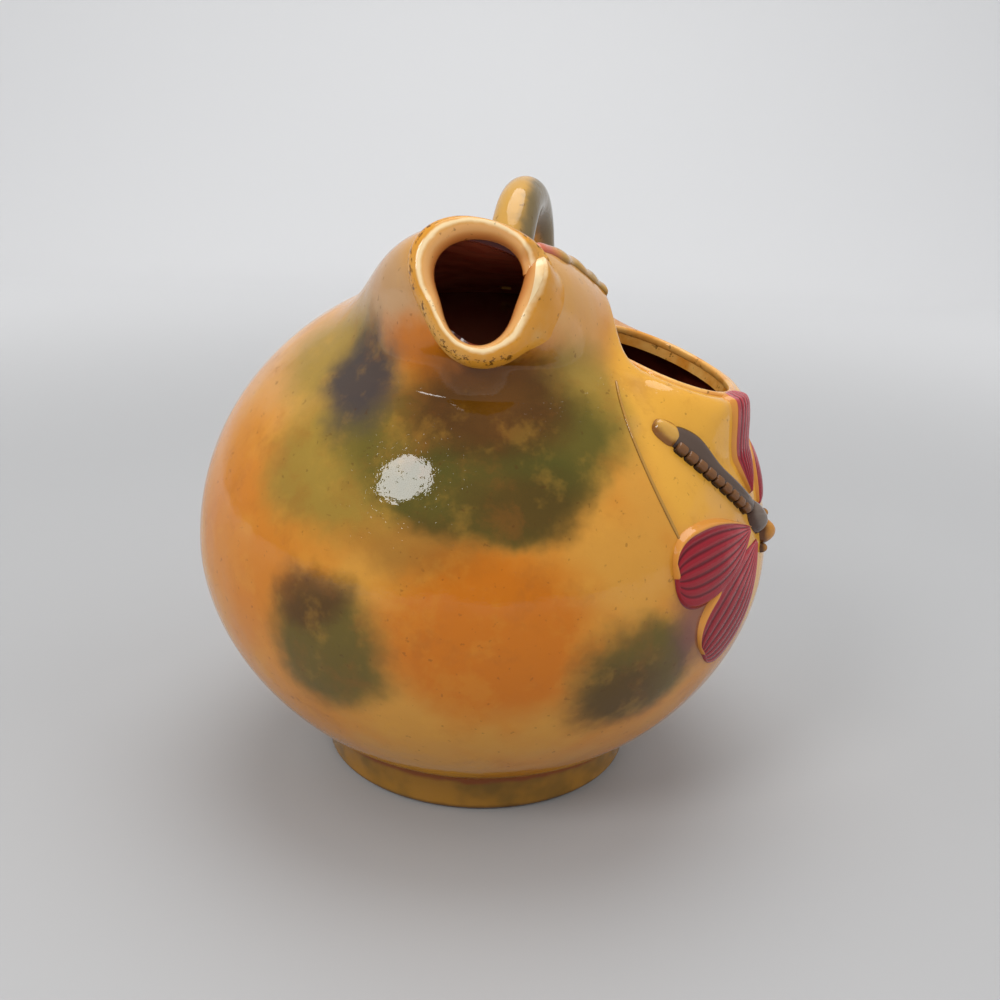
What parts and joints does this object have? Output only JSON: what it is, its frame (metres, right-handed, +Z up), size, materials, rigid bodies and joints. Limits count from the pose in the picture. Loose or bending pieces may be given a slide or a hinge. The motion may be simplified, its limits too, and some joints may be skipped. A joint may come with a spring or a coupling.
{
  "type": "puzzle jug",
  "caption": "Glazed globe jug with a hooded spout, an open filling hole in its shoulder, a hollow loop handle that hides the draw passage, and a relief dragonfly on its side.",
  "frame": {"origin": "middle of the foot ring on the surface that the jug stands on", "axes": "+Z up; -Y the way the spout's mouth faces; +X towards the filling opening and the dragonfly"},
  "size_m": [0.192, 0.2114, 0.1945],
  "materials": {
    "mottled_glaze": "glossy lead-type glaze, ochre with orange, olive and blue-grey mottling",
    "foot_glaze": "glossy yellow-olive glaze, thinner on the lower edge",
    "lip_glaze": "peach-cream glaze with brown specks along the edge",
    "seam_glaze": "thin pinkish ochre glaze over pinched clay",
    "rim_glaze": "yellow glaze worn to brown on the crest",
    "handle_glaze": "glossy ochre-green glaze",
    "inner_glaze": "maroon-brown glaze over red clay",
    "abdomen_glaze": "dark grey-brown glaze over raised rings",
    "tail_glaze": "yellow-ochre glaze",
    "thorax_glaze": "brown glaze over raised clay",
    "eye_glaze": "dark brown glaze",
    "wing_glaze": "crimson glaze, paler over the raised veins",
    "line_slip": "trailed brown slip under glaze"
  },
  "bodies": {
    "root": {"body_bowl": "mottled_glaze", "shoulder_hood": "mottled_glaze", "foot_ring": "foot_glaze", "spout_lip": "lip_glaze", "lip_fold": "lip_glaze", "crimped_seam": "seam_glaze", "filler_rim": "rim_glaze", "handle": "handle_glaze", "handle_collar_top": "handle_glaze", "handle_collar_low": "handle_glaze", "spout_floor": "inner_glaze", "draw_tube": "inner_glaze", "tube_saddle": "inner_glaze", "abdomen": "abdomen_glaze", "abdomen_rings": "abdomen_glaze", "tail_tip": "tail_glaze", "thorax": "thorax_glaze", "head": "thorax_glaze", "eyes": "eye_glaze", "wing_lower_hind": "wing_glaze", "wing_lower_fore": "wing_glaze", "wing_upper_hind": "wing_glaze", "wing_upper_fore": "wing_glaze", "slip_line": "line_slip"}
  },
  "joints": []
}
